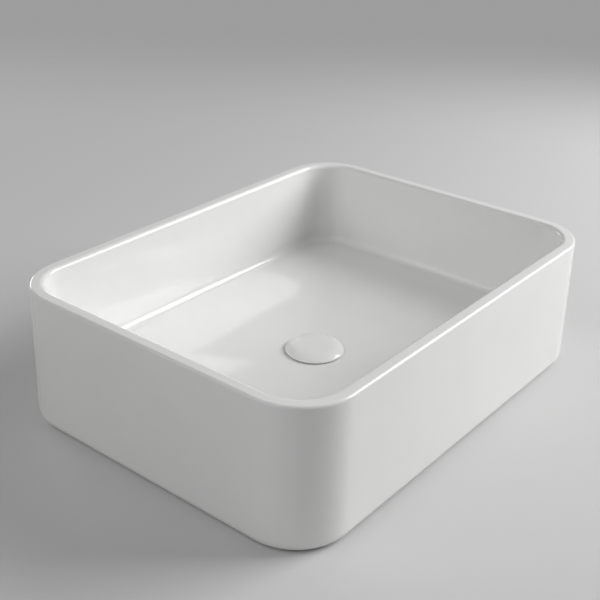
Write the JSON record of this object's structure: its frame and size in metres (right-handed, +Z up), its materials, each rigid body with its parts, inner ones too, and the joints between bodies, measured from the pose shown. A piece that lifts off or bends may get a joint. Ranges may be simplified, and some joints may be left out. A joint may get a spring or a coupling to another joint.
{
  "type": "countertop basin",
  "caption": "Rectangular glazed basin that stands on a countertop, with round corners, a thin flat rim and a click-clack waste whose domed cap rises to drain.",
  "frame": {"origin": "middle of the foot ring, on the surface of the countertop", "axes": "+X along the basin's width, -Y to its front, +Z up out of the bowl"},
  "size_m": [0.5, 0.375, 0.2011],
  "materials": {
    "glaze": "gloss white glaze over fired clay",
    "waste_metal": "bright plated brass",
    "cap_brass": "turned brass",
    "seal_rubber": "matt black rubber",
    "washer_nylon": "natural nylon",
    "click_plastic": "moulded acetal",
    "spring_steel": "drawn stainless wire"
  },
  "bodies": {
    "basin": {"basin_bowl": "glaze", "flange_seal": "seal_rubber", "waste_body": "waste_metal", "under_gasket": "seal_rubber", "slip_washer": "washer_nylon", "back_nut": "waste_metal", "cartridge_housing": "click_plastic", "jam_nut": "cap_brass", "guide_bush": "click_plastic", "lift_spring": "spring_steel"},
    "popup": {"cap_cover": "glaze", "cap_carrier": "cap_brass", "cap_seal": "seal_rubber", "plunger": "cap_brass"},
    "latch": {"index_ring": "click_plastic"}
  },
  "joints": [
    {"name": "pop_up", "type": "slide", "parent": "basin", "child": "popup", "axis": [0, 0, 1], "range_m": [-0.001, 0.009], "deforming": ["lift_spring"]},
    {"name": "index_turn", "type": "hinge", "parent": "basin", "child": "latch", "pos_m": [0, 0, 0.023], "axis": [0, 0, 1], "range_deg": [-4.6, 40.6]}
  ],
  "couplings": [
    {"joint": "index_turn", "follows": "pop_up", "rad_per_m": 78.54}
  ]
}
